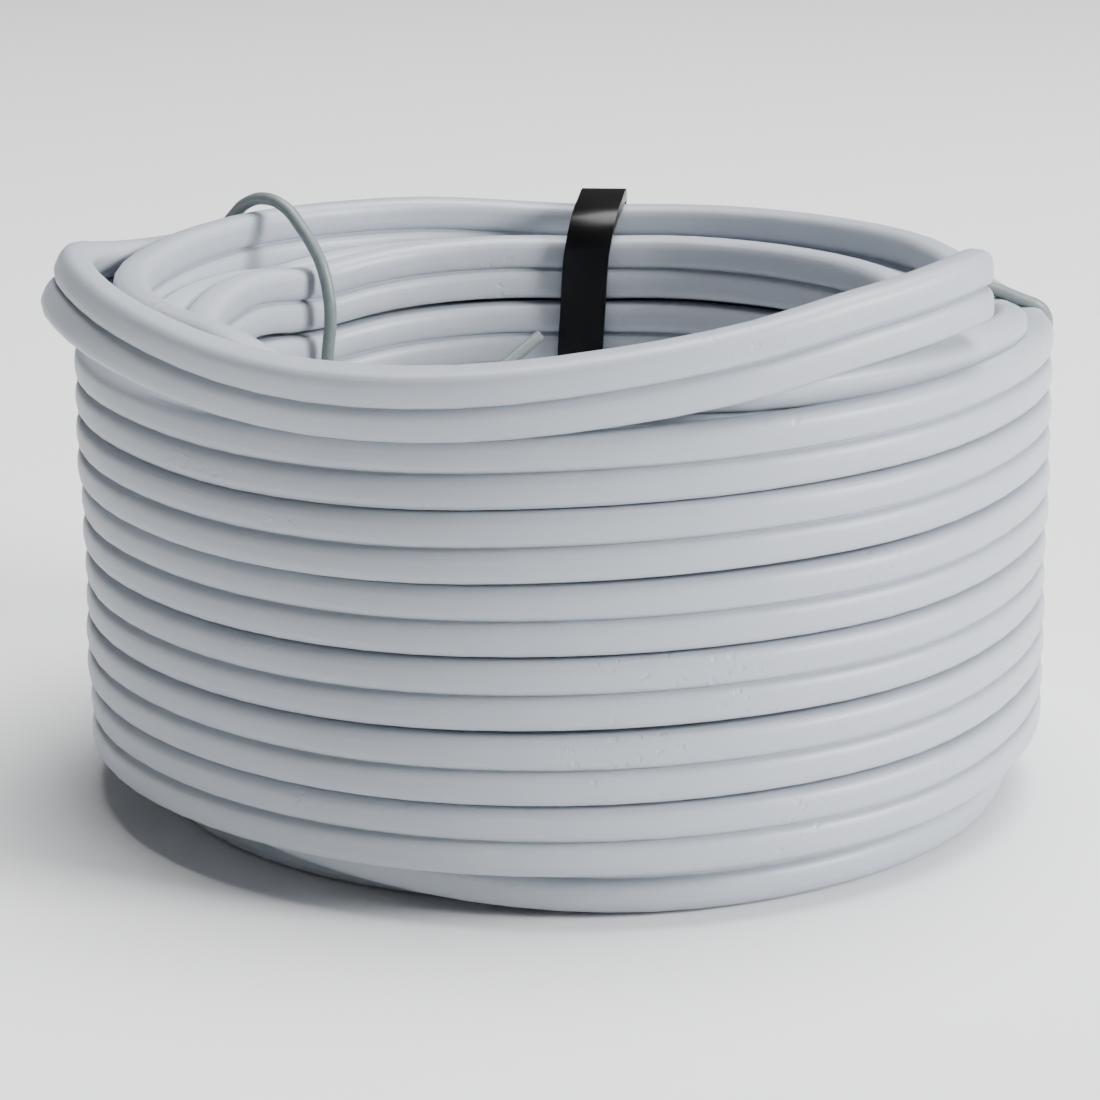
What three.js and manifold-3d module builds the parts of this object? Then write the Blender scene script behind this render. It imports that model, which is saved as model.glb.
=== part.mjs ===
// A coil of white flat twin flex, wound in layers and held by two wire ties and a cable tie.
// Millimetres, +Z up. The coil lies on its end, with its axis upright and its front at -Y.

import * as THREE from 'three';
import { mergeVertices } from 'three/addons/utils/BufferGeometryUtils.js';
import Module from 'manifold-3d';

const wasm = await Module();
wasm.setup();

// The flex: two cores side by side, standing on edge in the coil
const FLEX_WIDTH = 5.9;
const FLEX_THICKNESS = 2.95;
const GROOVE_DEPTH = 0.55;
const GAP_DEPTH = 0.9;

// The winding: the outer layer starts above the foot, and the second stands highest
const COIL_RADIUS = 41.4;
const LAYERS = 4;
const INNER_WRAPS = 7;
const INNER_WRAP_PITCH = 6.06;
const SECOND_LAYER_HEIGHT = 44.2;
const OUTER_WRAPS = 6;
const OUTER_FOOT_HEIGHT = 4.2;

// The last turn: it lies on the outer layer, bulges at the left and springs up at its cut end
const LAST_TURN_START_DEG = 24;
const LAST_TURN_END_DEG = 331;
const BULGE = 2.2;
const BULGE_DEG = 184;
const BULGE_SPREAD_DEG = 40;
const LIFT = 4.1;
const LIFT_START_DEG = 262;

// The two wire ties
const WIRE_DIAMETER = 1.15;
const LEFT_WIRE_DEG = 139;
const RIGHT_WIRE_DEG = 4;
const TWIST_HEIGHT = 25.7;
const SHORT_TAIL = new THREE.Vector3(-4, 3, 1);
const LEFT_TAIL = new THREE.Vector3(-14, -14.2, 8.7);
const RIGHT_TAIL = new THREE.Vector3(-4, -3, -1);

// The cable tie, with its head at the back
const STRAP_WIDTH = 3.6;
const STRAP_THICKNESS = 1.1;
const STRAP_DEG = 86;
const HEAD_WIDTH = 6;
const HEAD_HEIGHT = 7;
const HEAD_DEPTH = 4.2;
const HEAD_CENTRE_HEIGHT = 22;

// Room between turns, between a tie and the winding, and under a tie where it passes the foot
const CLEARANCE = 0.3;
const TIE_CLEARANCE = 0.45;
const FLOOR_CLEARANCE = 0.15;

// How finely the curves are cut into faces
const RING_SEGMENTS = 36;
const LAST_TURN_STEPS = 48;
const TIE_STEPS = 88;
const SHOULDER = 0.3;
const CORNER_LENGTH = 1.4;

const innerRadius = COIL_RADIUS - LAYERS * FLEX_THICKNESS;
const secondRadius = COIL_RADIUS - FLEX_THICKNESS;
const thirdRadius = secondRadius - FLEX_THICKNESS;
const innerTop = INNER_WRAPS * INNER_WRAP_PITCH;
const outerTop = OUTER_FOOT_HEIGHT + OUTER_WRAPS * FLEX_WIDTH;

const deg = (angle) => THREE.MathUtils.degToRad(angle);
const at = (radius, height) => new THREE.Vector2(radius, height);
const material = (color, roughness) => new THREE.MeshStandardMaterial({ color, roughness, metalness: 0 });

// A row of lobes along one side of the winding's section. The outline dips between lobes:
// deeply between two turns, and less between the two cores of one turn.
function lobeRow(from, to, count, coresPerTurn) {
  const along = to.clone().sub(from);
  const inward = new THREE.Vector2(-along.y, along.x).normalize();
  const points = [];
  for (let lobe = 0; lobe < count; lobe += 1) {
    if (lobe > 0) {
      const depth = lobe % coresPerTurn === 0 ? GAP_DEPTH : GROOVE_DEPTH;
      points.push(from.clone().addScaledVector(along, lobe / count).addScaledVector(inward, depth));
    }
    points.push(from.clone().addScaledVector(along, (lobe + SHOULDER) / count));
    points.push(from.clone().addScaledVector(along, (lobe + 1 - SHOULDER) / count));
  }
  return points;
}

// The winding's section, counter-clockwise from the foot of its bore
function windingSection() {
  const outline = [
    lobeRow(at(innerRadius, 0), at(secondRadius, 0), LAYERS - 1, 1),
    lobeRow(at(secondRadius, 0), at(secondRadius, OUTER_FOOT_HEIGHT), 1, 2),
    lobeRow(at(secondRadius, OUTER_FOOT_HEIGHT), at(COIL_RADIUS, OUTER_FOOT_HEIGHT), 1, 1),
    lobeRow(at(COIL_RADIUS, OUTER_FOOT_HEIGHT), at(COIL_RADIUS, outerTop), 2 * OUTER_WRAPS, 2),
    lobeRow(at(COIL_RADIUS, outerTop), at(secondRadius, outerTop), 1, 1),
    lobeRow(at(secondRadius, outerTop), at(secondRadius, SECOND_LAYER_HEIGHT), 1, 1),
    lobeRow(at(secondRadius, SECOND_LAYER_HEIGHT), at(thirdRadius, SECOND_LAYER_HEIGHT), 1, 1),
    lobeRow(at(thirdRadius, innerTop), at(innerRadius, innerTop), LAYERS - 2, 1),
    lobeRow(at(innerRadius, innerTop), at(innerRadius, 0), 2 * INNER_WRAPS, 2),
  ].flat();
  outline.push(outline[0].clone());
  return outline;
}

function toManifold(geometry) {
  const bare = geometry.clone();
  bare.deleteAttribute('normal');
  bare.deleteAttribute('uv');
  const merged = mergeVertices(bare);
  return new wasm.Manifold(new wasm.Mesh({
    numProp: 3,
    vertProperties: new Float32Array(merged.attributes.position.array),
    triVerts: new Uint32Array(merged.index.array),
  }));
}

function toGeometry(solid) {
  const mesh = solid.getMesh();
  const geometry = new THREE.BufferGeometry();
  geometry.setAttribute('position', new THREE.BufferAttribute(new Float32Array(mesh.vertProperties), 3));
  geometry.setIndex(new THREE.BufferAttribute(new Uint32Array(mesh.triVerts), 1));
  geometry.computeVertexNormals();
  return geometry;
}

// The channel that a tie presses into the foot of the winding
const channelHeight = (tieThickness) => tieThickness + FLOOR_CLEARANCE + TIE_CLEARANCE;

function channel(angle, tieWidth, tieThickness) {
  const length = COIL_RADIUS - innerRadius + 2 * FLEX_WIDTH;
  const box = new THREE.BoxGeometry(length, tieWidth + 2 * TIE_CLEARANCE, 2 * channelHeight(tieThickness));
  box.translate((COIL_RADIUS + innerRadius) / 2, 0, 0);
  box.rotateZ(deg(angle));
  return toManifold(box);
}

function windingGeometry() {
  const turned = new THREE.LatheGeometry(windingSection(), RING_SEGMENTS);
  turned.rotateX(Math.PI / 2);
  return toGeometry(toManifold(turned)
    .subtract(channel(LEFT_WIRE_DEG, WIRE_DIAMETER, WIRE_DIAMETER))
    .subtract(channel(RIGHT_WIRE_DEG, WIRE_DIAMETER, WIRE_DIAMETER))
    .subtract(channel(STRAP_DEG, STRAP_WIDTH, STRAP_THICKNESS)));
}

// The flex's own section: two lobes with a groove on each side between them
function flexSection() {
  const half = FLEX_THICKNESS / 2;
  const core = FLEX_WIDTH / 2 - half;
  const waist = half - GROOVE_DEPTH;
  const facet = half * Math.SQRT1_2;
  const quarter = [
    [core, half],
    [core + facet, facet],
    [core + half, 0],
    [core + facet, -facet],
    [core, -half],
    [0, -waist],
  ];
  const mirrored = quarter.map(([x, y]) => [-x, -y]);
  return new THREE.Shape([...quarter, ...mirrored].map(([x, y]) => new THREE.Vector2(x, y)));
}

// How far the last turn's outer face stands out from the winding's
function lastTurnStandOut(angle) {
  const offset = (angle - BULGE_DEG) / BULGE_SPREAD_DEG;
  return CLEARANCE + BULGE * Math.exp(-(offset ** 2));
}

class LastTurnLine extends THREE.Curve {
  getPoint(t, target = new THREE.Vector3()) {
    const angle = THREE.MathUtils.lerp(LAST_TURN_START_DEG, LAST_TURN_END_DEG, t);
    const radius = COIL_RADIUS - FLEX_THICKNESS / 2 + lastTurnStandOut(angle);
    const lift = LIFT * THREE.MathUtils.smoothstep(angle, LIFT_START_DEG, LAST_TURN_END_DEG);
    const height = outerTop + CLEARANCE + FLEX_WIDTH / 2 + lift;
    return target.set(radius * Math.cos(deg(angle)), radius * Math.sin(deg(angle)), height);
  }
}

function lastTurnGeometry() {
  return new THREE.ExtrudeGeometry(flexSection(), {
    steps: LAST_TURN_STEPS,
    extrudePath: new LastTurnLine(),
  });
}

// The outline that a taut tie follows round the winding at one angle, from the foot of its bore
// up the bore, over the top and down the outside
function tieOutline(angle, tieThickness, crossesLastTurn) {
  const foot = channelHeight(tieThickness);
  const lastTurnTop = outerTop + CLEARANCE + FLEX_WIDTH;
  const outside = COIL_RADIUS + (crossesLastTurn ? lastTurnStandOut(angle) : 0);
  const shoulder = at(outside, crossesLastTurn ? lastTurnTop : outerTop);
  return tautOutline([at(innerRadius, foot), at(innerRadius, innerTop), at(thirdRadius, SECOND_LAYER_HEIGHT),
    at(secondRadius, SECOND_LAYER_HEIGHT), shoulder, at(outside, OUTER_FOOT_HEIGHT), at(secondRadius, foot)]);
}

// The corners that a taut line round them touches: those where the line turns right
function tautOutline(corners) {
  const turnsRight = (before, corner, after) =>
    corner.clone().sub(before).cross(after.clone().sub(corner)) < 0;
  const touched = corners.filter((corner, i) => turnsRight(
    corners[(i + corners.length - 1) % corners.length], corner, corners[(i + 1) % corners.length]));
  return touched.length < corners.length ? tautOutline(touched) : touched;
}

// The corners of an outline moved outwards by the same distance on every side
function offsetOutline(corners, distance) {
  const count = corners.length;
  return corners.map((corner, i) => {
    const before = corner.clone().sub(corners[(i + count - 1) % count]).normalize();
    const after = corners[(i + 1) % count].clone().sub(corner).normalize();
    const miter = new THREE.Vector2(-before.y - after.y, before.x + after.x).normalize();
    const reach = distance / miter.dot(new THREE.Vector2(-before.y, before.x));
    return corner.clone().addScaledVector(miter, reach);
  });
}

// A line of straight legs with rounded corners
function roundedLine(points) {
  const path = new THREE.CurvePath();
  const toward = (from, to) => from.clone().add(to.clone().sub(from).setLength(CORNER_LENGTH));
  let pen = points[0];
  for (let i = 1; i < points.length - 1; i += 1) {
    const enter = toward(points[i], points[i - 1]);
    const leave = toward(points[i], points[i + 1]);
    path.add(new THREE.LineCurve3(pen, enter));
    path.add(new THREE.QuadraticBezierCurve3(enter, points[i], leave));
    pen = leave;
  }
  path.add(new THREE.LineCurve3(pen, points[points.length - 1]));
  return path;
}

// In a tie's own plane X runs outwards from the coil's axis, so the tie is turned to its angle last
const upright = (point) => new THREE.Vector3(point.x, 0, point.y);

function wireTieGeometry(angle, crossesLastTurn, tail) {
  const outline = offsetOutline(tieOutline(angle, WIRE_DIAMETER, crossesLastTurn),
    TIE_CLEARANCE + WIRE_DIAMETER / 2);
  const halfPitch = (WIRE_DIAMETER + CLEARANCE) / 2;
  const [foot, ...rest] = outline.map(upright);
  const upper = new THREE.Vector3(foot.x, 0, TWIST_HEIGHT + halfPitch);
  const lower = new THREE.Vector3(foot.x, 0, TWIST_HEIGHT - halfPitch);
  const shortEnd = upper.clone().add(SHORT_TAIL);
  const longEnd = lower.clone().add(tail);
  const line = roundedLine([shortEnd, upper, ...rest, foot, lower, longEnd]);
  const section = new THREE.Shape().absarc(0, 0, WIRE_DIAMETER / 2, 0, 2 * Math.PI);
  const wire = new THREE.ExtrudeGeometry(section, { steps: TIE_STEPS, curveSegments: 4, extrudePath: line });
  return wire.rotateZ(deg(angle));
}

function cableTieGeometry() {
  const outline = offsetOutline(tieOutline(STRAP_DEG, STRAP_THICKNESS, true),
    TIE_CLEARANCE + STRAP_THICKNESS / 2);
  const corners = outline.map(upright);
  const outerFoot = corners.length - 2;
  const up = corners.slice(0, outerFoot).reverse();
  const down = corners.slice(outerFoot).reverse();
  const inHead = (side) => new THREE.Vector3(up[0].x, 0, HEAD_CENTRE_HEIGHT + side * HEAD_HEIGHT / 4);
  const line = roundedLine([inHead(1), ...up, ...down, inHead(-1)]);
  const section = new THREE.Shape([
    at(-STRAP_WIDTH / 2, -STRAP_THICKNESS / 2),
    at(STRAP_WIDTH / 2, -STRAP_THICKNESS / 2),
    at(STRAP_WIDTH / 2, STRAP_THICKNESS / 2),
    at(-STRAP_WIDTH / 2, STRAP_THICKNESS / 2),
  ]);
  const strap = new THREE.ExtrudeGeometry(section, { steps: TIE_STEPS, extrudePath: line });
  const head = new THREE.BoxGeometry(HEAD_DEPTH, HEAD_WIDTH, HEAD_HEIGHT);
  head.translate(up[0].x + (HEAD_DEPTH - STRAP_THICKNESS) / 2, 0, HEAD_CENTRE_HEIGHT);
  return toGeometry(toManifold(strap).add(toManifold(head))).rotateZ(deg(STRAP_DEG));
}

function piece(name, geometry, finish) {
  const mesh = new THREE.Mesh(geometry, finish);
  mesh.name = name;
  return mesh;
}

const coil = new THREE.Group();
coil.add(
  piece('cable_coil', windingGeometry(), material(0xdfe4ec, 0.45)),
  piece('cable_last_turn', lastTurnGeometry(), material(0xdfe4ec, 0.45)),
  piece('wire_tie_left', wireTieGeometry(LEFT_WIRE_DEG, true, LEFT_TAIL), material(0x6f7a7c, 0.4)),
  piece('wire_tie_right', wireTieGeometry(RIGHT_WIRE_DEG, false, RIGHT_TAIL), material(0x6f7a7c, 0.4)),
  piece('cable_tie', cableTieGeometry(), material(0x0b0b0d, 0.3)),
);

// The origin is under the middle of the whole part, on the level that it lies on
const bounds = new THREE.Box3().setFromObject(coil);
const middle = bounds.getCenter(new THREE.Vector3());
coil.position.set(-middle.x, -middle.y, -bounds.min.z);

export default coil;
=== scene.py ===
# A coil of white flat twin flex, held by two wire ties and a cable tie, dressed for its render.
# Places are in the coil's own frame: its axis is upright, its foot is at 0 and its front is at -Y.
# Angles are in degrees, counter-clockwise seen from above, with +X at 0 and the front at 270.
# Lengths are in millimetres until MM turns them to metres. The cable's turns run counter-clockwise.

import math

import bmesh
import bpy
import numpy as np
from mathutils import Matrix, Vector


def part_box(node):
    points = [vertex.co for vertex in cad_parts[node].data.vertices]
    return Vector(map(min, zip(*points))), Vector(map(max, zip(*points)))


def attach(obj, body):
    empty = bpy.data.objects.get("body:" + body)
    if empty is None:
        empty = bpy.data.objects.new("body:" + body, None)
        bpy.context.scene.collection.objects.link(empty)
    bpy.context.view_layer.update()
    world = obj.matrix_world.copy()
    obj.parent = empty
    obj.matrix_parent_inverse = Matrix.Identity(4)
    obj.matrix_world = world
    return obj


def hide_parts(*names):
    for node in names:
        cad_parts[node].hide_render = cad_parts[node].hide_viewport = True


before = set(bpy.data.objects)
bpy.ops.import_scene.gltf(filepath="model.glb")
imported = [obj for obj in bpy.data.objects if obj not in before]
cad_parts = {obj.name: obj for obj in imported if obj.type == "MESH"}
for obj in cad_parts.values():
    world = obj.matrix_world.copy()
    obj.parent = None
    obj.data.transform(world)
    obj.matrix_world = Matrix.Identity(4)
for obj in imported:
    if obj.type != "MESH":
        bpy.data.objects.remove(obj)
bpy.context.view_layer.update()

bl_info = {
    "name": "Flat Twin Flex Coil",
    "version": (1, 0, 0),
    "blender": (4, 5, 0),
    "location": "3D View > Sidebar > Flex Coil",
    "description": "Winds a coil of flat twin flex and ties it, around its packed frame",
    "category": "Object",
}

MM = 0.001
COIL_LOW, COIL_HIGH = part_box("cable_coil")
COIL_AXIS = Vector(((COIL_LOW.x + COIL_HIGH.x) / 2, (COIL_LOW.y + COIL_HIGH.y) / 2, COIL_LOW.z))
COIL_RADIUS = (COIL_HIGH.x - COIL_LOW.x) / 2 / MM

# The winding: the first layer is the outer one, the fourth lines the bore, and each is one cable thick.
# A layer's foot and top are the heights of the middle of its lowest and its highest turn.
LAYERS = 4
INNER_TURNS = 7
INNER_PITCH = 6.06
THIRD_TOP = 38.25
SECOND_TOP = 41.15
SECOND_FOOT = 3.1
OUTER_FOOT = 2.95
OUTER_PITCH = 5.93
OUTER_TURNS = 6

# The flex is drawn this much narrower than it is, so that turns one pitch apart don't touch
TURN_GAP = 0.14
STEPS_PER_TURN = 66

# A quarter of the flex's section: its lobe is round at 2 and squarer above that. It is sampled finely,
# and the steps that are kept crowd towards the groove.
LOBE_SQUARENESS = 3.5
LOBE_SAMPLES = 600
SECTION_STEPS = 11
SECTION_CROWDING = 1.5

# Where the cable's ends are, where each layer steps to its next level and where the cable changes layer
CABLE_START = -20
FOURTH_STEP = (295, 345)
FOURTH_TO_THIRD = (270, 320)
THIRD_STEP = (250, 300)
THIRD_TO_SECOND = (262, 295)
SECOND_RISE = (250, 282)
SECOND_FIRST_STEP = (218, 262)
SECOND_LAST_STEP = (165, 288)
SECOND_TO_FIRST = (340, 390)
CABLE_END = 324

# How much of its pitch an outer turn has climbed at each angle, at the foot and at the top
OUTER_CLIMB_LOW = ((30, 0), (75, 0.22), (140, 0.42), (190, 0.66), (210, 0.71), (250, 0.71), (290, 0.75),
                   (315, 0.80), (345, 1.0), (390, 1.0))
OUTER_CLIMB_HIGH = ((30, 0), (75, 0.2), (140, 0.36), (163, 0.50), (190, 0.61), (210, 0.63), (230, 0.60),
                    (250, 0.63), (270, 0.75), (290, 0.85), (310, 0.90), (330, 1.0), (390, 1.0))

# The loose turn presses the turns under it down at the front, and the uppermost the most
LOOSE_PRESS = 0.3
PRESS_START = (200, 238)
PRESS_END = (285, 310)
PRESS_FADE = 6

# The outer layer's upper turns stand out at the left
SWELL_DEG = 195
SWELL_SPREAD_DEG = 40
SWELL_DEPTH = 0.5

# The fourth layer's turns under its top one hang this much lower, and less towards the foot
FOURTH_SLACK = 0.25

# The fourth layer's top turn: angle and height
FOURTH_TOP = ((-20, 39.0), (30, 39.2), (70, 39.15), (96, 38.95), (119, 38.6), (132, 38.25), (142, 38.45),
              (155, 38.7), (173, 38.2), (205, 38.3), (250, 38.7), (340, 39.0))

# The loose last turn: angle, height, how far it stands out, and how far its top leans in, in degrees
LAST_TURN = (
    (30, 38.53, 0.0, 0),
    (41, 39.2, 0.0, 0),
    (60, 39.7, 0.0, 0),
    (90, 40.05, 0.0, 0),
    (120, 40.4, 0.0, 0),
    (140, 40.8, 0.0, 0),
    (150, 41.0, 0.1, 0),
    (163, 41.8, 0.6, 8),
    (172, 42.8, 1.2, 16),
    (180, 43.8, 1.9, 22),
    (187, 44.3, 2.2, 24),
    (200, 44.3, 2.2, 19),
    (212, 43.65, 2.2, 8),
    (221, 42.95, 2.1, -2),
    (230, 42.2, 1.95, -10),
    (240, 41.7, 1.8, -15),
    (249, 41.65, 1.6, -16),
    (258, 41.95, 1.4, -15),
    (266, 42.5, 1.2, -13),
    (274, 43.2, 0.95, -9),
    (283, 44.0, 0.65, -4),
    (292, 44.9, 0.35, 0),
    (301, 46.0, 0.15, 0),
    (313, 46.9, 0.0, 0),
    (320, 47.4, 0.0, 0),
    (327, 47.8, 0.0, 0),
)

# The second layer's top turn: angle and how far it stands above its level
SECOND_SWELL = ((-65, 0.0), (60, 0.0), (95, 0.0), (112, 0.8), (124, 1.0), (142, 1.15), (152, 1.0),
                (172, 0.7), (185, 0.8))

# At the front right, under the loose turn's end, that turn drops a little and leans out over the outer
# layer. Its angles count back from +X, and its lean is in degrees.
FLARE_START = (-94, -72)
FLARE_END = (-24, -4)
FLARE_OUT = 0.9
FLARE_DROP = 0.4
FLARE_LEAN = 26

# Where the ties cross, how far they lift the foot, and how far they press each layer's top down. The lift
# fades out over its reach, the dip grows towards the top, and the loose end of the cable isn't pressed.
TIES = ("left", "strap", "right")
TIE_DEG = {"left": 140, "strap": 86, "right": 4}
TIE_SPREAD_DEG = {"left": 9, "strap": 11, "right": 16}
FOOT_LIFT = 1.5
INNER_DIP = {"left": 0.6, "strap": 0.3, "right": 1.2}
SECOND_DIP = {"left": 0.0, "strap": 0.2, "right": 2.7}
OUTER_DIP = {"left": 0.0, "strap": 0.2, "right": 0.9}
LIFT_REACH = 30
DIP_MOST = 1.1
OUTER_TOP_DROP = 1
LOOSE_DEG = 290

# Behind the right limb the right wire pulls the outer turns in, from this many degrees before the outer
# layer starts to this many before the cable ends
PULL_DEG = 16
PULL_SPREAD_DEG = 6
PULL_DEPTH = 0.4
PULL_EARLY_DEG = 60
PULL_SPARED_DEG = 270

# Each turn lies a little off its line, in slow waves: height, waves for each radian turned, and phase
RADIUS_WAVES = ((0.09, 0.37, 1.0), (0.06, 1.63, 0.4))
HEIGHT_WAVES = ((0.05, 2.41, 2.0),)

# The cut strands stand proud unevenly: mean and spread in strands, and the change from one to the next
STRAND_RINGS = (1, 2)
STRAND_SIDES = 8
PROUD_MEAN = 0.5
PROUD_SPREAD = 0.35
PROUD_CHANGE = 2.3

# The wire ties: places along each loop, as radius, height and how far it strays off its upright plane
LEFT_WIRE = ((28.4, 27.2, 0), (28.1, 33.1, 0), (27.7, 36.4, 0), (27.8, 38.3, 0), (28.5, 40.9, 0),
             (29.5, 42.6, 0), (31.2, 44.5, 0), (33.2, 46.1, 0), (35.7, 46.6, 0), (38.1, 45.9, 0),
             (39.6, 44.7, 0), (40.9, 43.3, 0), (42.0, 41.2, 0), (42.15, 36, 0), (42.15, 24, 0),
             (42.15, 12, 0), (42.1, 6.5, 0), (41.6, 3.6, 0), (39.8, 1.6, 0), (37.6, 0.78, 0),
             (34, 0.76, 0), (30.6, 0.78, 0), (29.0, 1.5, 0), (28.6, 4, 0), (28.6, 12, 0),
             (28.5, 20, 0), (28.4, 24.2, 0))
RIGHT_WIRE = ((28.4, 27.2, 0), (28.5, 34, 0), (28.6, 39.2, 0), (29.4, 41.6, 0), (31.4, 42.7, 0),
              (34.2, 42.8, 0), (36.9, 42.2, 0), (39.2, 41.3, 0), (41.2, 40.3, 0.3), (41.9, 38.4, 1.5),
              (41.5, 35.5, 4.0), (40.9, 31, 7.2), (40.55, 25, 8.6), (40.55, 12, 8.6), (40.8, 6.5, 7.6),
              (40.6, 3.8, 6.0), (39.4, 1.7, 4.0), (37.6, 0.8, 2.5), (34, 0.76, 1.0), (30.6, 0.78, 0.3),
              (29.0, 1.5, 0), (28.6, 4, 0), (28.6, 12, 0), (28.5, 20, 0), (28.4, 24.2, 0))
TWIST_HEIGHT = 25.7
TWIST_LENGTH = 5.0
TWIST_TURNS = 1.5
TWIST_STEPS = 9
TWIST_REACH = 0.52

# Where each wire's long tail and short tail end, from the root of its twist: out, sideways and up. The
# long tail bends this far off the straight line, at this share of the way to its end.
LEFT_TAILS = ((-13.6, -14.2, 8.7), (-8.5, 3.2, 1.6))
RIGHT_TAILS = ((-9.0, -4.0, -1.5), (-8.5, 3.2, 1.6))
BEND_OFF = (-1.2, 0.8, -1.0)
BEND_SHARE = 0.45

# The cable tie: places along its strap, as radius, height and how far the strap leans off its plane
STRAP_LINE = ((42.15, 26, 0.3), (42.15, 36, -0.4), (42.15, 42.0, -0.9), (41.7, 43.6, -1.05),
              (40.4, 44.6, -1.1), (37.5, 45.0, -1.1), (34, 44.8, -1.0), (31, 44.2, -0.75),
              (29.4, 43.1, -0.5), (28.6, 41.4, -0.2), (28.45, 39.5, 0.05), (28.45, 35, 0.3),
              (28.45, 29, 0.6), (28.5, 15, 0.8), (28.5, 4, 0.9), (28.8, 1.8, 0.9),
              (29.9, 0.78, 0.9), (33.5, 0.72, 0.9), (37.8, 0.74, 0.9), (40.4, 1.1, 0.9),
              (41.8, 2.6, 0.9), (42.15, 4.6, 0.9), (42.15, 12, 0.6), (42.15, 19, 0.4))
STRAP_STEPS = 6
STRAP_EDGE_DEG = 60
STRAP_EDGE_SHARE = 0.22

# The cable tie's head: its size, its place on the strap, its rounded edges and the slot sunk in its ends
HEAD_SIZE = (4.0, 6.0, 7.0)
HEAD_HEIGHT = 22.0
HEAD_INSIDE = 0.8
HEAD_SIDEWAYS = 0.35
HEAD_EDGE = 0.6
SLOT_RIM = 0.7
SLOT_TAPER = 0.1
SLOT_DEPTH = 0.9

# The camera sees the coil as the photograph does
PHOTO_SIZE = 1100
FOCAL_PIXELS = 3630
SENSOR_WIDTH = 36.0
CAMERA_PLACE = (-1.353, -304.63, 102.3)
CAMERA_PITCH_DEG = 15.18

# The soft lights: name, place and size in metres, and share of the power
LIGHTS = (
    ("top_softbox", (0.15, 0.10, 0.95), 0.7, 1.0),
    ("right_softbox", (0.85, -0.32, 0.36), 0.35, 0.85),
    ("left_softbox", (-0.60, -0.60, 0.35), 0.5, 0.01),
)
LIGHT_TARGET = (0, 0, 0.02)
WORLD_STRENGTH = 0.10
FLOOR_REACH = 4

# How wide the patches of each finish are, in millimetres. The wire's grain and the copper's tarnish are
# finer on the real ones, and are drawn as coarse as they need to show.
SHEATH_STREAK = (16.667, 0.4, 0.4)
SHEATH_CLOUD = 11.11
SHEATH_SCUFFED = 18.18
SHEATH_NICK = 1.111
SHEATH_DENT = 3.846
COAT_GRAIN = 0.5556
NYLON_HAZE = 3.125
COPPER_TARNISH = 0.3333

# The Mix node's sockets for colours go by number, because several share a name
MIX_FACTOR, MIX_FIRST, MIX_SECOND, MIX_RESULT = 0, 6, 7, 2


def linear(hex_code):
    """An sRGB hex colour as linear red, green, blue and alpha."""
    channels = [int(hex_code[i:i + 2], 16) / 255 for i in (1, 3, 5)]
    return (*[c / 12.92 if c <= 0.04045 else ((c + 0.055) / 1.055) ** 2.4 for c in channels], 1.0)


def shade(colour, share=1):
    """A colour made darker or lighter by a share, with its alpha."""
    return (*[channel * share for channel in colour[:3]], 1)


def cells(size):
    """The noise scale whose patches are this many millimetres wide."""
    return 1 / (size * MM)


def in_row_frame(points):
    """Millimetre places in the coil's frame as metres in the row frame."""
    return np.asarray(points, float) * MM + np.array(COIL_AXIS)


def around(radius, angle, height):
    """Places at a radius, an angle in degrees and a height in the coil's frame."""
    turn = np.radians(angle)
    return np.stack([radius * np.cos(turn), radius * np.sin(turn), height + 0 * turn], axis=-1)


def ease(start, end, angle):
    """0 before the start angle, 1 after the end angle, and smooth between them."""
    t = np.clip((angle - start) / (end - start), 0, 1)
    return t * t * (3 - 2 * t)


def through(stations, angle):
    """A smooth line through listed stations, each an angle and one or more values."""
    stations = np.asarray(stations, float)
    at, values = stations[:, 0], stations[:, 1:]
    slopes = np.gradient(values, at, axis=0)
    i = np.clip(np.searchsorted(at, angle) - 1, 0, len(at) - 2)
    span = (at[i + 1] - at[i])[:, None]
    t = np.clip((angle - at[i]) / span[:, 0], 0, 1)[:, None]
    rest = 1 - t
    start = values[i] * (1 + 2 * t) + slopes[i] * span * t
    end = values[i + 1] * (1 + 2 * rest) - slopes[i + 1] * span * rest
    return start * rest ** 2 + end * t ** 2


def waves(terms, turn):
    """A sum of sine waves, each a height, a pace and a phase."""
    return sum(height * np.sin(pace * turn + phase) for height, pace, phase in terms)


def next_angle(after, wanted):
    """The first total angle past another that points in the wanted direction."""
    return after + (wanted - after) % 360


def near_tie(tie, angle):
    """1 where a tie crosses the turns and 0 well away from it."""
    off = (angle - TIE_DEG[tie] + 180) % 360 - 180
    return np.exp(-(off / TIE_SPREAD_DEG[tie]) ** 2)


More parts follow.
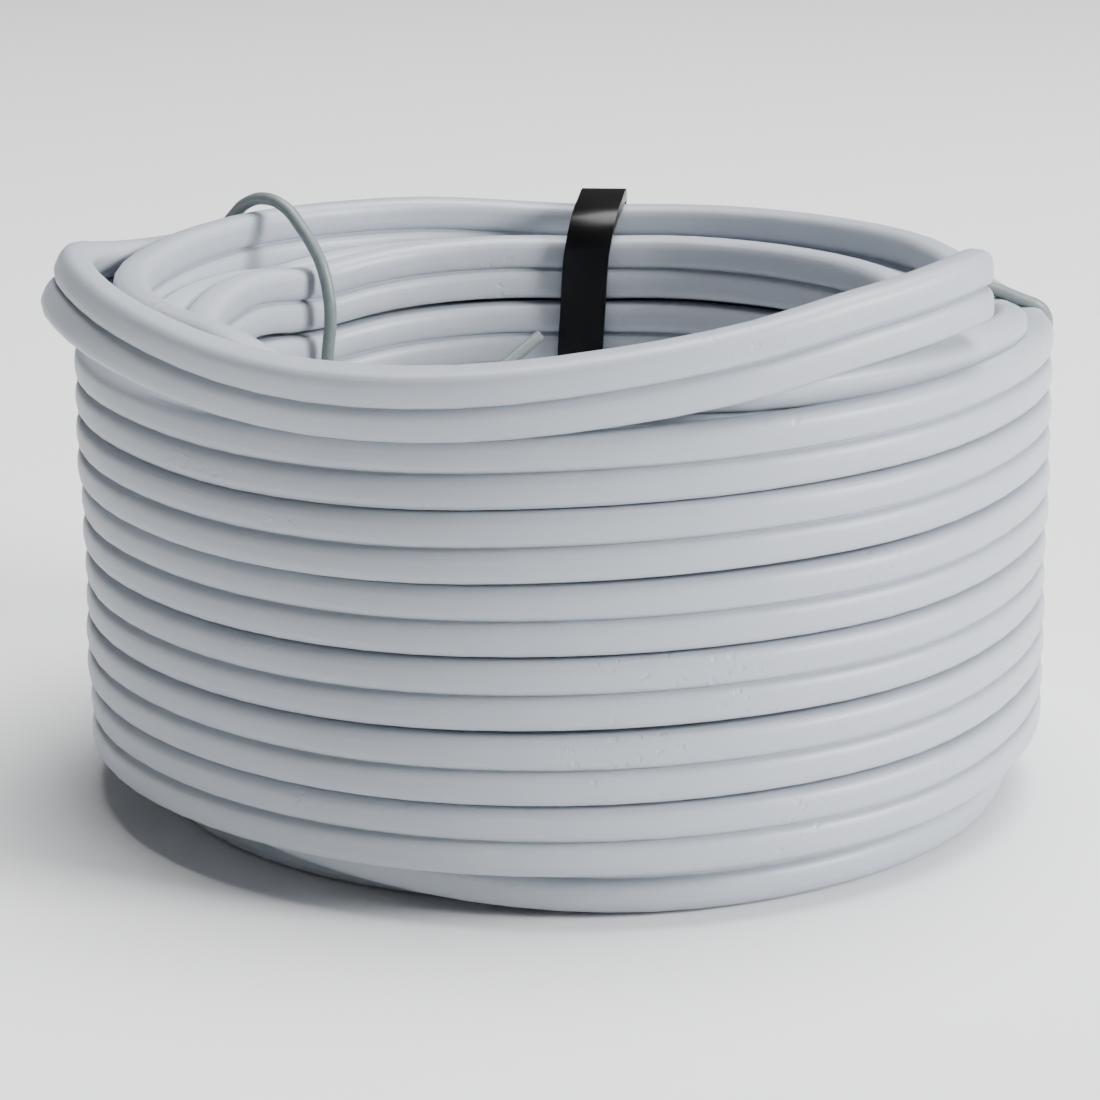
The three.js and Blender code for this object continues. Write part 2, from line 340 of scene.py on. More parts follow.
class Winding:
    """The whole cable's centreline, from its inner end to its loose outer end."""

    def __init__(self, thickness):
        self.thickness = thickness
        self.outer_radius = COIL_RADIUS - thickness / 2
        self.inner_radius = self.outer_radius - (LAYERS - 1) * thickness
        self.inner_top = INNER_PITCH * (INNER_TURNS - 0.5)
        self.third_pitch = (THIRD_TOP - INNER_PITCH / 2) / (INNER_TURNS - 1)
        self.second_pitch = (SECOND_TOP - SECOND_FOOT) / (INNER_TURNS - 1)
        self.plan_layers()
        count = round((self.end - CABLE_START) / 360 * STEPS_PER_TURN) + 1
        self.angle = np.linspace(CABLE_START, self.end, count)
        self.radius, self.height, self.lean = self.shape(self.angle)
        self.press_ties()
        self.settle()
        self.points = in_row_frame(around(self.radius, self.angle, self.height))

    def plan_layers(self):
        """Total angles at which each layer steps, and at which the cable changes layer."""
        steps = INNER_TURNS - 1
        first = next_angle(CABLE_START + 180, FOURTH_STEP[0])
        self.fourth_steps = [first + 360 * k for k in range(steps)]
        self.to_third = next_angle(self.fourth_steps[-1] + 180, FOURTH_TO_THIRD[0])
        first = next_angle(self.to_third + 180, THIRD_STEP[0])
        self.third_steps = [first + 360 * k for k in range(steps)]
        self.second_rise = next_angle(self.third_steps[-1] + 180, SECOND_RISE[0])
        self.to_second = next_angle(self.second_rise, THIRD_TO_SECOND[0])
        first = next_angle(self.to_second + 180, SECOND_LAST_STEP[0]) - SECOND_LAST_STEP[0]
        zones = np.linspace(SECOND_FIRST_STEP, SECOND_LAST_STEP, steps)
        whole_turns = [first + 360 * k for k in range(steps)]
        self.second_steps = [(turn + start, turn + end) for turn, (start, end) in zip(whole_turns, zones)]
        self.to_first = next_angle(self.second_steps[-1][0], SECOND_TO_FIRST[0])
        self.outer_start = self.to_first + SECOND_TO_FIRST[1] - SECOND_TO_FIRST[0]
        self.end = next_angle(self.outer_start + 360 * OUTER_TURNS, CABLE_END)

    def stepped(self, starts, zone, angle):
        """How many levels the cable has passed, with a smooth step at each start angle."""
        return sum(ease(start, start + zone[1] - zone[0], angle) for start in starts)

    def shape(self, angle):
        """Radius, height and lean at each total angle, before the ties press on the turns."""
        changes = ((self.to_third, FOURTH_TO_THIRD), (self.to_second, THIRD_TO_SECOND),
                   (self.to_first, SECOND_TO_FIRST))
        layer = sum(self.stepped([start], zone, angle) for start, zone in changes)
        radius = self.inner_radius + layer * self.thickness
        sunk = self.stepped(self.fourth_steps, FOURTH_STEP, angle)
        height = self.inner_top - INNER_PITCH * sunk
        sag = self.fourth_sag(angle) - FOURTH_SLACK * np.clip(sunk, 0, 1)
        height += sag * (1 - sunk / (INNER_TURNS - 1))
        height += self.third_pitch * self.stepped(self.third_steps, THIRD_STEP, angle)
        height += (SECOND_TOP - THIRD_TOP) * self.stepped([self.second_rise], SECOND_RISE, angle)
        height -= self.second_pitch * sum(ease(*zone, angle) for zone in self.second_steps)
        height -= (SECOND_FOOT - OUTER_FOOT) * self.stepped([self.to_first], SECOND_TO_FIRST, angle)
        local = angle - (self.to_second + THIRD_TO_SECOND[1] - THIRD_TO_SECOND[0]) + SECOND_SWELL[0][0]
        height += self.swell(local)
        flare = ease(*FLARE_START, local) * (1 - ease(*FLARE_END, local))
        radius += FLARE_OUT * flare
        height -= FLARE_DROP * flare
        lean = -np.radians(FLARE_LEAN) * flare
        outer = angle > self.outer_start
        turns = (angle[outer] - self.outer_start) / 360
        height[outer], stand_out, lean[outer] = self.outer_turns(turns)
        radius[outer] += stand_out
        return radius, height, lean

    def fourth_sag(self, angle):
        """How far the fourth layer's turns lie off their level, at the top."""
        local = (angle - CABLE_START) % 360 + CABLE_START
        return through(FOURTH_TOP, local)[:, 0] - self.inner_top

    def swell(self, local):
        """The second layer's top turn stands higher at the back left."""
        raised = through(SECOND_SWELL, local)[:, 0]
        return raised * (1 - ease(*SECOND_FIRST_STEP, local)) * (local > SECOND_SWELL[0][0])

    def outer_turns(self, turns):
        """Heights, stand-out and lean of the outer layer, whose last turn is loose."""
        whole = np.minimum(np.floor(turns), OUTER_TURNS)
        local = SECOND_TO_FIRST[1] - 360 + (turns - whole) * 360
        share = whole / (OUTER_TURNS - 1)
        low = through(OUTER_CLIMB_LOW, local)[:, 0]
        high = through(OUTER_CLIMB_HIGH, local)[:, 0]
        height = OUTER_FOOT + OUTER_PITCH * (whole + low * (1 - share) + high * share)
        pressed = ease(*PRESS_START, local) * (1 - ease(*PRESS_END, local))
        height -= LOOSE_PRESS * pressed * np.minimum(share, 1) ** PRESS_FADE
        loose = through(LAST_TURN, local)
        is_last = whole == OUTER_TURNS
        swell = SWELL_DEPTH * share ** 2 * np.exp(-((local - SWELL_DEG) / SWELL_SPREAD_DEG) ** 2)
        stand_out = np.where(is_last, loose[:, 1], swell)
        lean = np.where(is_last, np.radians(loose[:, 2]), 0)
        return np.where(is_last, loose[:, 0], height), stand_out, lean

    def press_ties(self):
        """The ties lift the foot of the turns that lie on them and press the top turns down."""
        layer = np.round((self.radius - self.inner_radius) / self.thickness)
        outer_top = self.inner_top - OUTER_TOP_DROP
        top = np.where(layer < 2, self.inner_top, np.where(layer < 3, SECOND_TOP, outer_top))
        at_top = np.clip(self.height / top, 0, DIP_MOST)
        at_foot = np.clip(1 - (self.height - OUTER_FOOT) / LIFT_REACH, 0, 1)
        loose = self.angle > self.end - LOOSE_DEG
        for tie in TIES:
            near = near_tie(tie, self.angle)
            dip = np.where(layer < 2, INNER_DIP[tie], np.where(layer < 3, SECOND_DIP[tie], OUTER_DIP[tie]))
            dip = np.where(loose, 0, dip)
            self.height += near * (FOOT_LIFT * at_foot * (layer < 3) - dip * at_top)

    def settle(self):
        """The right wire pulls turns in, and each turn of a hand-tied coil lies a little off its line."""
        turn = np.radians(self.angle)
        off = (self.angle - PULL_DEG + 180) % 360 - 180
        pulled = self.angle > self.outer_start - PULL_EARLY_DEG
        pulled &= self.angle < self.end - PULL_SPARED_DEG
        self.radius -= PULL_DEPTH * np.exp(-(off / PULL_SPREAD_DEG) ** 2) * pulled
        self.radius += waves(RADIUS_WAVES, turn)
        self.height += waves(HEIGHT_WAVES, turn)


def flex_section(width, thickness, groove):
    """Places round the flex's section, as (across its width, through its thickness)."""
    lobe, half, web = width / 4, thickness / 2, thickness / 2 - groove
    t = np.linspace(0, np.pi, LOBE_SAMPLES)
    across = lobe + lobe * np.sign(np.cos(t)) * np.abs(np.cos(t)) ** (2 / LOBE_SQUARENESS)
    deep = half * np.abs(np.sin(t)) ** (2 / LOBE_SQUARENESS)
    deep = np.where(across < lobe, np.maximum(deep, web), deep)
    along = np.concatenate([[0], np.cumsum(np.hypot(np.diff(across), np.diff(deep)))])
    closer_to_groove = 1 - (1 - np.linspace(0, 1, SECTION_STEPS + 1)) ** SECTION_CROWDING
    at = along[-1] * closer_to_groove
    quarter = np.stack([np.interp(at, along, across), np.interp(at, along, deep)], axis=1)
    half_turn = np.concatenate([quarter[:-1], quarter[:0:-1] * (-1, 1)])
    return np.concatenate([half_turn, -half_turn])


def sweep_flex(name, winding, section):
    """The flex as one closed tube, with its place on the straightened cable kept on each point."""
    points = winding.points
    tangent = np.gradient(points, axis=0)
    tangent /= np.linalg.norm(tangent, axis=1)[:, None]
    turn = np.radians(winding.angle)
    outwards = np.stack([np.cos(turn), np.sin(turn), 0 * turn], axis=1)
    lean = winding.lean[:, None]
    across = np.cos(lean) * np.array([0, 0, 1]) - np.sin(lean) * outwards
    across -= (across * tangent).sum(1)[:, None] * tangent
    across /= np.linalg.norm(across, axis=1)[:, None]
    out = np.cross(tangent, across)
    rings = points[:, None] + section[None, :, :1] * across[:, None] + section[None, :, 1:] * out[:, None]
    along = np.concatenate([[0], np.cumsum(np.linalg.norm(np.diff(points, axis=0), axis=1))])
    straight = np.empty(rings.shape)
    straight[..., 0] = along[:, None]
    straight[..., 1:] = section[None]
    sides = len(section)
    ring, side = np.meshgrid(np.arange(len(points) - 1), np.arange(sides), indexing="ij")
    this, following = ring * sides + side, ring * sides + (side + 1) % sides
    quads = np.stack([this, following, following + sides, this + sides], axis=-1).reshape(-1, 4)
    last = (len(points) - 1) * sides
    caps = [list(range(sides - 1, -1, -1)), list(range(last, last + sides))]
    mesh = bpy.data.meshes.new(name)
    mesh.from_pydata(rings.reshape(-1, 3).tolist(), [], quads.tolist() + caps)
    attribute = mesh.attributes.new("straight", "FLOAT_VECTOR", "POINT")
    attribute.data.foreach_set("vector", straight.ravel())
    mesh.shade_smooth()
    for polygon in list(mesh.polygons)[-2:]:
        polygon.use_smooth = False
    ends = []
    for i, sign in ((0, -1), (-1, 1)):
        turned = Matrix((across[i], out[i], sign * tangent[i])).transposed().to_4x4()
        ends.append(Matrix.Translation(points[i]) @ turned)
    return add_piece(name, mesh), ends


def add_piece(name, mesh):
    """A new object at the origin that shows a mesh."""
    piece = bpy.data.objects.new(name, mesh)
    bpy.context.scene.collection.objects.link(piece)
    return piece


def bmesh_piece(name, bm):
    """A new object from a finished bmesh."""
    mesh = bpy.data.meshes.new(name)
    bm.to_mesh(mesh)
    bm.free()
    return add_piece(name, mesh)


def dress(piece, slot_name, material, *replaced):
    """Gives a piece its material and its body, and hides the CAD nodes that it stands for."""
    piece.data.materials.clear()
    piece.data.materials.append(material)
    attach(piece, "root")
    if replaced:
        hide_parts(*replaced)


def add_node(tree, kind, inputs=None, **settings):
    """Adds a node with its settings, and sets or links its inputs."""
    node = tree.nodes.new(kind)
    for name, value in settings.items():
        setattr(node, name, value)
    for name, value in (inputs or {}).items():
        if isinstance(value, bpy.types.NodeSocket):
            tree.links.new(value, node.inputs[name])
        else:
            node.inputs[name].default_value = value
    return node


def new_material(name):
    """An empty node material."""
    material = bpy.data.materials.new(name)
    material.use_nodes = True
    material.node_tree.nodes.clear()
    return material, material.node_tree


def extruded_pvc(colour):
    """White soft PVC, extruded over both cores: satin, faintly drawn along its length, a little dented."""
    material, tree = new_material("extruded_soft_pvc")
    place = add_node(tree, "ShaderNodeAttribute", attribute_name="straight").outputs["Vector"]
    drawn = add_node(tree, "ShaderNodeVectorMath", {
        0: place, 1: [cells(size) for size in SHEATH_STREAK]}, operation="MULTIPLY")
    streaks = add_node(tree, "ShaderNodeTexNoise", {"Vector": drawn.outputs[0], "Scale": 1.0, "Detail": 3.0})
    cloud = add_node(tree, "ShaderNodeTexNoise", {
        "Vector": place, "Scale": cells(SHEATH_CLOUD), "Detail": 2.0})
    tint = add_node(tree, "ShaderNodeMix", {
        MIX_FACTOR: cloud.outputs["Fac"],
        MIX_FIRST: shade(colour, 0.96),
        MIX_SECOND: shade(colour),
    }, data_type="RGBA")
    rough = add_node(tree, "ShaderNodeMapRange", {
        "Value": streaks.outputs["Fac"], "To Min": 0.36, "To Max": 0.50})
    patches = add_node(tree, "ShaderNodeTexNoise", {
        "Vector": place, "Scale": cells(SHEATH_SCUFFED), "Detail": 1.0})
    scuffed = add_node(tree, "ShaderNodeMapRange", {
        "Value": patches.outputs["Fac"], "From Min": 0.56, "From Max": 0.66})
    nicks = add_node(tree, "ShaderNodeTexNoise", {
        "Vector": place, "Scale": cells(SHEATH_NICK), "Detail": 2.0})
    pits = add_node(tree, "ShaderNodeMapRange", {
        "Value": nicks.outputs["Fac"], "From Min": 0.60, "From Max": 0.70})
    scuffs = add_node(tree, "ShaderNodeMath", {
        0: scuffed.outputs["Result"], 1: pits.outputs["Result"]}, operation="MULTIPLY")
    dents = add_node(tree, "ShaderNodeTexNoise", {
        "Vector": place, "Scale": cells(SHEATH_DENT), "Detail": 1.0})
    uneven = add_node(tree, "ShaderNodeMath", {
        0: dents.outputs["Fac"], 1: scuffs.outputs["Value"]}, operation="SUBTRACT")
    low = add_node(tree, "ShaderNodeBump", {
        "Height": uneven.outputs["Value"], "Strength": 0.25, "Distance": 0.0004})
    bump = add_node(tree, "ShaderNodeBump", {
        "Height": streaks.outputs["Fac"], "Strength": 0.10, "Distance": 0.0002,
        "Normal": low.outputs["Normal"]})
    shader = add_node(tree, "ShaderNodeBsdfPrincipled", {
        "Base Color": tint.outputs[MIX_RESULT], "Roughness": rough.outputs["Result"], "IOR": 1.53,
        "Subsurface Weight": 0.12, "Subsurface Scale": 0.001, "Normal": bump.outputs["Normal"]})
    add_node(tree, "ShaderNodeOutputMaterial", {"Surface": shader.outputs["BSDF"]})
    return material


def coated_wire(colour):
    """Steel tie wire in a grey-green PVC coat: satin, with a fine grain."""
    material, tree = new_material("pvc_coated_tie_wire")
    place = add_node(tree, "ShaderNodeTexCoord").outputs["Object"]
    grain = add_node(tree, "ShaderNodeTexNoise", {
        "Vector": place, "Scale": cells(COAT_GRAIN), "Detail": 2.0})
    tint = add_node(tree, "ShaderNodeMix", {
        MIX_FACTOR: grain.outputs["Fac"],
        MIX_FIRST: shade(colour, 0.8),
        MIX_SECOND: shade(colour, 1.1),
    }, data_type="RGBA")
    bump = add_node(tree, "ShaderNodeBump", {
        "Height": grain.outputs["Fac"], "Strength": 0.2, "Distance": 0.0001})
    shader = add_node(tree, "ShaderNodeBsdfPrincipled", {
        "Base Color": tint.outputs[MIX_RESULT], "Roughness": 0.42, "IOR": 1.52,
        "Normal": bump.outputs["Normal"]})
    add_node(tree, "ShaderNodeOutputMaterial", {"Surface": shader.outputs["BSDF"]})
    return material


def moulded_nylon(colour):
    """Black nylon, injection moulded: semi-gloss, with a slight flow haze."""
    material, tree = new_material("moulded_black_nylon")
    place = add_node(tree, "ShaderNodeTexCoord").outputs["Object"]
    haze = add_node(tree, "ShaderNodeTexNoise", {
        "Vector": place, "Scale": cells(NYLON_HAZE), "Detail": 3.0})
    rough = add_node(tree, "ShaderNodeMapRange", {
        "Value": haze.outputs["Fac"], "To Min": 0.24, "To Max": 0.40})
    bump = add_node(tree, "ShaderNodeBump", {
        "Height": haze.outputs["Fac"], "Strength": 0.08, "Distance": 0.0003})
    shader = add_node(tree, "ShaderNodeBsdfPrincipled", {
        "Base Color": shade(colour), "Roughness": rough.outputs["Result"], "IOR": 1.53,
        "Specular IOR Level": 0.25, "Normal": bump.outputs["Normal"]})
    add_node(tree, "ShaderNodeOutputMaterial", {"Surface": shader.outputs["BSDF"]})
    return material


def drawn_copper(colour):
    """Bare copper strands, drawn and freshly cut: bright and smooth."""
    material, tree = new_material("drawn_copper")
    place = add_node(tree, "ShaderNodeTexCoord").outputs["Object"]
    tarnish = add_node(tree, "ShaderNodeTexNoise", {
        "Vector": place, "Scale": cells(COPPER_TARNISH), "Detail": 1.0})
    rough = add_node(tree, "ShaderNodeMapRange", {
        "Value": tarnish.outputs["Fac"], "To Min": 0.22, "To Max": 0.40})
    shader = add_node(tree, "ShaderNodeBsdfPrincipled", {
        "Base Color": shade(colour), "Metallic": 1.0, "Roughness": rough.outputs["Result"]})
    add_node(tree, "ShaderNodeOutputMaterial", {"Surface": shader.outputs["BSDF"]})
    return material


def matt_paper(name, colour):
    """A plain pale matt backdrop."""
    material, tree = new_material(name)
    shader = add_node(tree, "ShaderNodeBsdfPrincipled", {
        "Base Color": shade(colour), "Roughness": 0.9, "Specular IOR Level": 0.1})
    add_node(tree, "ShaderNodeOutputMaterial", {"Surface": shader.outputs["BSDF"]})
    return material


def strand_bundle(name, end, width, strand_diameter):
    """The copper strands of both cores where the flex is cut, in rings round each core's middle."""
    bm = bmesh.new()
    places = [(0, 0)]
    for ring in STRAND_RINGS:
        for k in range(6 * ring):
            turn = math.tau * k / (6 * ring)
            places.append((ring * math.cos(turn), ring * math.sin(turn)))
    for core in (-1, 1):
        for i, (u, v) in enumerate(places):
            across = core * width / 4 + u * strand_diameter
            proud = strand_diameter * (PROUD_MEAN + PROUD_SPREAD * math.sin(PROUD_CHANGE * i + core))
            place = Matrix.Translation((across, v * strand_diameter, proud / 2))
            bmesh.ops.create_cone(bm, cap_ends=True, segments=STRAND_SIDES, radius1=strand_diameter / 2,
                                  radius2=strand_diameter / 2, depth=2 * strand_diameter + proud,
                                  matrix=end @ place)
    bmesh.ops.recalc_face_normals(bm, faces=bm.faces)
    return bmesh_piece(name, bm)


def tube_mesh(name, points, diameter):
    """A round wire along a smooth line through points, as a mesh."""
    curve = bpy.data.curves.new(name, "CURVE")
    curve.dimensions = "3D"
    curve.bevel_depth = diameter / 2
    curve.bevel_resolution = 3
    curve.use_fill_caps = True
    curve.resolution_u = 6
    spline = curve.splines.new("BEZIER")
    spline.bezier_points.add(len(points) - 1)
    for bezier_point, place in zip(spline.bezier_points, points):
        bezier_point.co = place
        bezier_point.handle_left_type = bezier_point.handle_right_type = "AUTO"
    holder = bpy.data.objects.new(name + "_line", curve)
    bpy.context.scene.collection.objects.link(holder)
    bpy.context.view_layer.update()
    mesh = bpy.data.meshes.new_from_object(holder.evaluated_get(bpy.context.evaluated_depsgraph_get()))
    mesh.name = name
    bpy.data.objects.remove(holder)
    bpy.data.curves.remove(curve)
    mesh.shade_smooth()
    return mesh


def wire_route(loop, tails, diameter):
    """A wire tie's whole line in its own plane: long tail, twist, loop, twist and short tail."""
    start = np.array([loop[0][0], 0, TWIST_HEIGHT])
    steps = np.linspace(0, 1, TWIST_STEPS)
    reach = diameter * TWIST_REACH
    twists = []
    for phase in (0, math.pi):
        turn = math.tau * TWIST_TURNS * steps + phase
        twists.append(np.stack([start[0] - TWIST_LENGTH * steps, reach * np.sin(turn),
                                TWIST_HEIGHT + reach * np.cos(turn)], axis=1))
    upper, lower = twists
    loop = np.array([(radius, sideways, height) for radius, height, sideways in loop])
    long_tail = start + np.array(tails[0])
    short_tail = start + np.array(tails[1])
    bend = [lower[-1] * (1 - BEND_SHARE) + long_tail * BEND_SHARE + np.array(BEND_OFF)]
    return np.concatenate([[long_tail], bend, lower[::-1], loop[::-1], upper, [short_tail]])


def tie_wire(name, loop, tails, angle, diameter):
    """A wire tie, turned to its angle on the coil."""
    local = wire_route(loop, tails, diameter)
    turn = math.radians(angle)
    spun = np.stack([local[:, 0] * math.cos(turn) - local[:, 1] * math.sin(turn),
                     local[:, 0] * math.sin(turn) + local[:, 1] * math.cos(turn), local[:, 2]], axis=1)
    return add_piece(name, tube_mesh(name, in_row_frame(spun), diameter * MM))


def strap_place(radius, lean, height):
    """A place on the cable tie: out from the axis, sideways and up, in the row frame."""
    turn = math.radians(TIE_DEG["strap"])
    x = radius * math.cos(turn) - lean * math.sin(turn)
    y = radius * math.sin(turn) + lean * math.cos(turn)
    return Vector(in_row_frame((x, y, height)))


def strap_loop(width, thickness):
    """The strap: a ribbon extruded sideways from its line, given its thickness and rounded edges."""
    stations = np.array(STRAP_LINE)
    at = np.arange(len(stations), dtype=float)
    fine = through(np.column_stack([at, stations]), np.linspace(0, at[-1], STRAP_STEPS * len(at)))
    sideways = strap_place(0, width / 2, 0) - strap_place(0, 0, 0)
    bm = bmesh.new()
    line = [bm.verts.new(strap_place(radius, lean, height) - sideways) for radius, height, lean in fine]
    edges = [bm.edges.new(pair) for pair in zip(line, line[1:])]
    made = bmesh.ops.extrude_edge_only(bm, edges=edges)["geom"]
    bmesh.ops.translate(bm, verts=[v for v in made if isinstance(v, bmesh.types.BMVert)], vec=2 * sideways)
    bmesh.ops.recalc_face_normals(bm, faces=bm.faces)
    bmesh.ops.solidify(bm, geom=bm.faces[:], thickness=thickness * MM)
    bmesh.ops.recalc_face_normals(bm, faces=bm.faces)
    bm.normal_update()
    sharp = math.radians(STRAP_EDGE_DEG)
    long_edges = [edge for edge in bm.edges if edge.is_manifold and edge.calc_face_angle(0) > sharp]
    bmesh.ops.bevel(bm, geom=long_edges, offset=thickness * MM * STRAP_EDGE_SHARE, offset_type="OFFSET",
                    segments=2, profile=0.5, affect="EDGES", material=-1, clamp_overlap=True)
    for face in bm.faces:
        face.smooth = True
    return bm


def tie_head():
    """The moulded head: a rounded block with its slot sunk in at the top and the foot."""
    depth, width, height = (size * MM for size in HEAD_SIZE)
    bm = bmesh.new()
    bmesh.ops.create_cube(bm, size=1)
    bmesh.ops.scale(bm, verts=bm.verts, vec=(depth, width, height))
    bmesh.ops.bevel(bm, geom=bm.edges[:], offset=HEAD_EDGE * MM, offset_type="OFFSET", segments=3,
                    profile=0.5, affect="EDGES", material=-1, clamp_overlap=True)
    for end in (-1, 1):
        face = max(bm.faces, key=lambda f: end * f.calc_center_median().z * f.calc_area())
        bmesh.ops.inset_region(bm, faces=[face], thickness=SLOT_RIM * MM, depth=0)
        bmesh.ops.inset_region(bm, faces=[face], thickness=SLOT_TAPER * MM, depth=-SLOT_DEPTH * MM)
    turn = math.radians(TIE_DEG["strap"])
    middle = strap_place(STRAP_LINE[0][0] + HEAD_SIZE[0] / 2 - HEAD_INSIDE, HEAD_SIDEWAYS, HEAD_HEIGHT)
    place = Matrix.Translation(middle) @ Matrix.Rotation(turn, 4, "Z")
    bmesh.ops.transform(bm, verts=bm.verts, matrix=place)
    return bm


class FlexSettings(bpy.types.PropertyGroup):
    """Sizes and colours of the cable."""

    width: bpy.props.FloatProperty(
        name="Width", description="Width of the flat flex over both cores", default=5.9 * MM,
        min=3 * MM, max=9 * MM, precision=5, unit="LENGTH", subtype="DISTANCE")
    thickness: bpy.props.FloatProperty(
        name="Thickness", description="Thickness of the flex over one core", default=2.95 * MM,
        min=1.5 * MM, max=5 * MM, precision=5, unit="LENGTH", subtype="DISTANCE")
    groove: bpy.props.FloatProperty(
        name="Groove", description="Depth of the groove between the two cores", default=0.72 * MM,
        min=0, max=1 * MM, precision=5, unit="LENGTH", subtype="DISTANCE")
    strand: bpy.props.FloatProperty(
        name="Strand", description="Diameter of one copper strand", default=0.22 * MM,
        min=0.05 * MM, max=0.5 * MM, precision=5, unit="LENGTH", subtype="DISTANCE")
    colour: bpy.props.FloatVectorProperty(
        name="Sheath", description="Colour of the sheath", default=linear("#ADB3BC")[:3],
        size=3, min=0, max=1, subtype="COLOR")
    copper: bpy.props.FloatVectorProperty(
        name="Copper", description="Colour of the strands", default=linear("#DA8A67")[:3],
        size=3, min=0, max=1, subtype="COLOR")


class TieSettings(bpy.types.PropertyGroup):
    """Sizes and colours of the ties."""

    wire: bpy.props.FloatProperty(
        name="Wire", description="Diameter of the coated tie wire", default=1.15 * MM,
        min=0.5 * MM, max=3 * MM, precision=5, unit="LENGTH", subtype="DISTANCE")
    wire_colour: bpy.props.FloatVectorProperty(
        name="Wire coat", description="Colour of the wire's coat", default=linear("#76807F")[:3],
        size=3, min=0, max=1, subtype="COLOR")
    strap_width: bpy.props.FloatProperty(
        name="Strap width", description="Width of the cable tie's strap", default=4.2 * MM,
        min=2 * MM, max=8 * MM, precision=5, unit="LENGTH", subtype="DISTANCE")
    strap_thickness: bpy.props.FloatProperty(
        name="Strap thickness", description="Thickness of the cable tie's strap", default=1.1 * MM,
        min=0.5 * MM, max=2 * MM, precision=5, unit="LENGTH", subtype="DISTANCE")
    strap_colour: bpy.props.FloatVectorProperty(
        name="Nylon", description="Colour of the cable tie", default=linear("#050506")[:3],
        size=3, min=0, max=1, subtype="COLOR")


class StageSettings(bpy.types.PropertyGroup):
    """The floor and the light."""

    floor_colour: bpy.props.FloatVectorProperty(
        name="Floor", description="Colour of the floor", default=linear("#F4F5F6")[:3],
        size=3, min=0, max=1, subtype="COLOR")
    power: bpy.props.FloatProperty(
        name="Power", description="Power of all the soft lights together", default=18.0, min=0)


class FLEXCOIL_OT_stage(bpy.types.Operator):
    """Adds the floor, the soft studio light and the camera."""

    bl_idname = "flexcoil.stage"
    bl_label = "Add Stage"

    def execute(self, context):
        settings = context.scene.flexcoil_stage
        self.add_camera(context)
        bm = bmesh.new()
        bmesh.ops.create_grid(bm, x_segments=1, y_segments=1, size=FLOOR_REACH)
        floor = bmesh_piece("floor", bm)
        floor.data.materials.append(matt_paper("matt_white_paper", settings.floor_colour))
        for name, place, size, share in LIGHTS:
            self.add_light(context, name, place, size, settings.power * share)
        self.add_world(context)
        return {"FINISHED"}

    def add_camera(self, context):
        """The camera stands where the photograph was taken from."""
        camera = bpy.data.cameras.new("camera")
        camera.sensor_width = SENSOR_WIDTH
        camera.lens = FOCAL_PIXELS * SENSOR_WIDTH / PHOTO_SIZE
        holder = bpy.data.objects.new("camera", camera)
        holder.location = in_row_frame(CAMERA_PLACE)
        holder.rotation_euler = (math.radians(90 - CAMERA_PITCH_DEG), 0, 0)
        context.scene.collection.objects.link(holder)
        context.scene.camera = holder

    def add_light(self, context, name, place, size, power):
        """A square soft light that faces the coil."""
        light = bpy.data.lights.new(name, "AREA")
        light.size = size
        light.energy = power
        holder = bpy.data.objects.new(name, light)
        holder.location = place
        aim = Vector(LIGHT_TARGET) - Vector(place)
        holder.rotation_euler = aim.to_track_quat("-Z", "Y").to_euler()
        context.scene.collection.objects.link(holder)

    def add_world(self, context):
        """A faint white light from all round, as in a white room."""
        world = bpy.data.worlds.new("soft_white_room")
        world.use_nodes = True
        background = world.node_tree.nodes["Background"]
        background.inputs["Color"].default_value = (1, 1, 1, 1)
        background.inputs["Strength"].default_value = WORLD_STRENGTH
        context.scene.world = world


class FLEXCOIL_OT_cable(bpy.types.Operator):
    """Winds the flex, from its inner end to its loose cut end."""

    bl_idname = "flexcoil.cable"
    bl_label = "Wind Cable"

    def execute(self, context):
        settings = context.scene.flexcoil_flex
        winding = Winding(settings.thickness / MM)
        section = flex_section(settings.width - TURN_GAP * MM, settings.thickness, settings.groove)
        cable, ends = sweep_flex("flat_twin_cable", winding, section)
        dress(cable, "cable", extruded_pvc(settings.colour), "cable_coil", "cable_last_turn")
        copper = drawn_copper(settings.copper)
        for name, end in zip(("inner_end_strands", "outer_end_strands"), ends):
            bundle = strand_bundle(name, end, settings.width, settings.strand)
            dress(bundle, "cable", copper)
        return {"FINISHED"}


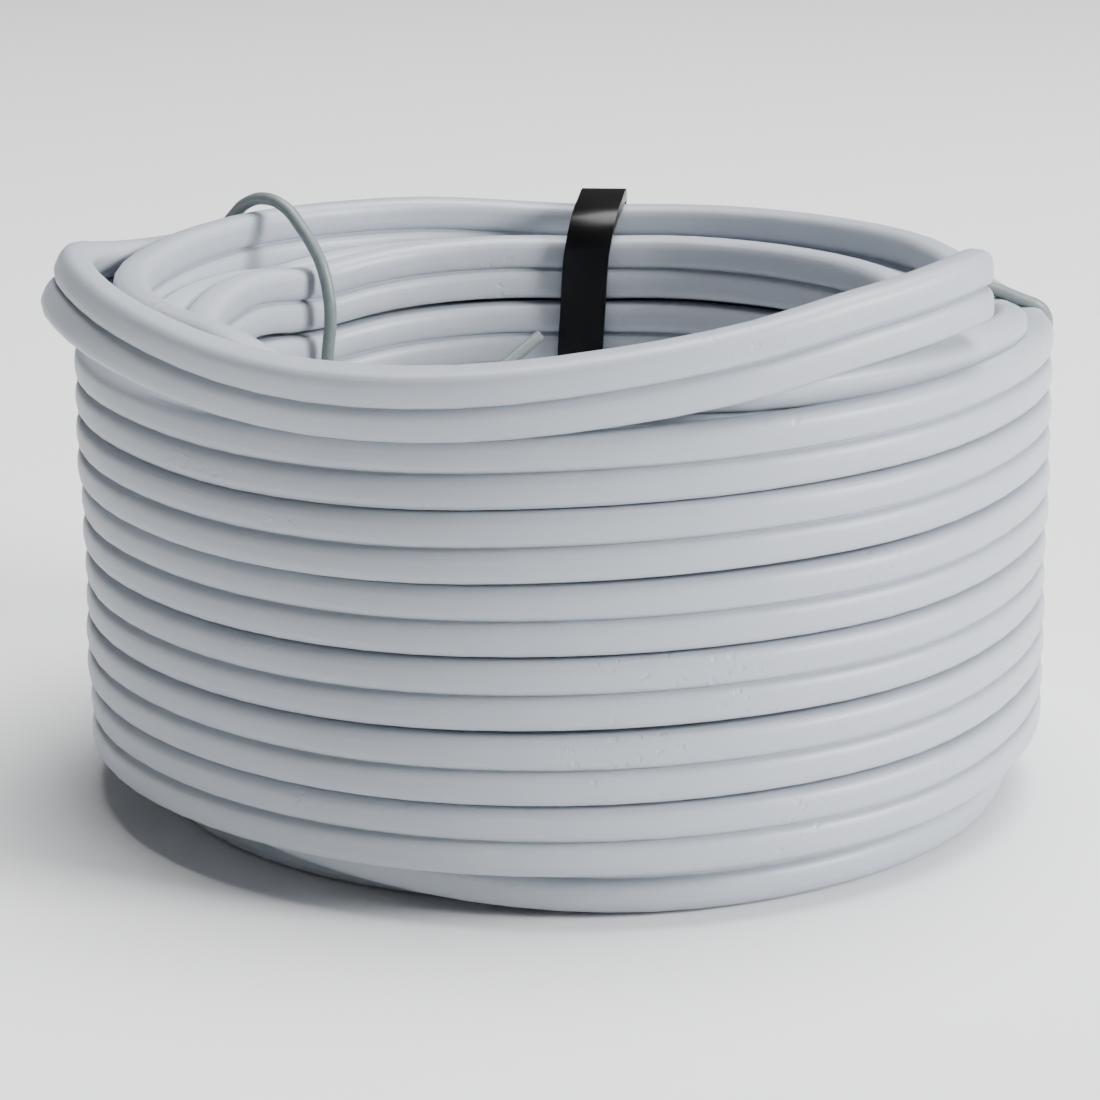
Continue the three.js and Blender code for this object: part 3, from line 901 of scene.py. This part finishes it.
class FLEXCOIL_OT_wire_ties(bpy.types.Operator):
    """Twists the two wire ties round the winding."""

    bl_idname = "flexcoil.wire_ties"
    bl_label = "Add Wire Ties"

    def execute(self, context):
        settings = context.scene.flexcoil_ties
        material = coated_wire(settings.wire_colour)
        for side, loop, tails in (("left", LEFT_WIRE, LEFT_TAILS), ("right", RIGHT_WIRE, RIGHT_TAILS)):
            wire = tie_wire(f"twisted_wire_{side}", loop, tails, TIE_DEG[side], settings.wire / MM)
            dress(wire, "tie_wire", material, f"wire_tie_{side}")
        return {"FINISHED"}


class FLEXCOIL_OT_cable_tie(bpy.types.Operator):
    """Closes the black cable tie over the back of the winding."""

    bl_idname = "flexcoil.cable_tie"
    bl_label = "Add Cable Tie"

    def execute(self, context):
        settings = context.scene.flexcoil_ties
        material = moulded_nylon(settings.strap_colour)
        ribbon = strap_loop(settings.strap_width / MM, settings.strap_thickness / MM)
        strap = bmesh_piece("tie_strap", ribbon)
        dress(strap, "cable_tie", material, "cable_tie")
        head = bmesh_piece("tie_head", tie_head())
        dress(head, "cable_tie", material)
        return {"FINISHED"}


class FLEXCOIL_PT_panel(bpy.types.Panel):
    """Lists the coil's pieces in the sidebar."""

    bl_idname = "FLEXCOIL_PT_panel"
    bl_label = "Flex Coil"
    bl_space_type = "VIEW_3D"
    bl_region_type = "UI"
    bl_category = "Flex Coil"

    def draw(self, context):
        for group in SETTINGS:
            settings = getattr(context.scene, group)
            for name in settings.__annotations__:
                self.layout.prop(settings, name)
        for operator in OPERATORS:
            self.layout.operator(operator.bl_idname)


SETTINGS = {"flexcoil_flex": FlexSettings, "flexcoil_ties": TieSettings, "flexcoil_stage": StageSettings}
OPERATORS = (FLEXCOIL_OT_stage, FLEXCOIL_OT_cable, FLEXCOIL_OT_wire_ties, FLEXCOIL_OT_cable_tie)
CLASSES = (*SETTINGS.values(), *OPERATORS, FLEXCOIL_PT_panel)


def register():
    for cls in CLASSES:
        bpy.utils.register_class(cls)
    for name, group in SETTINGS.items():
        setattr(bpy.types.Scene, name, bpy.props.PointerProperty(type=group))


def unregister():
    for name in SETTINGS:
        delattr(bpy.types.Scene, name)
    for cls in reversed(CLASSES):
        bpy.utils.unregister_class(cls)


def main():
    register()
    bpy.ops.flexcoil.stage()
    bpy.ops.flexcoil.cable()
    bpy.ops.flexcoil.wire_ties()
    bpy.ops.flexcoil.cable_tie()


if __name__ == "__main__":
    main()
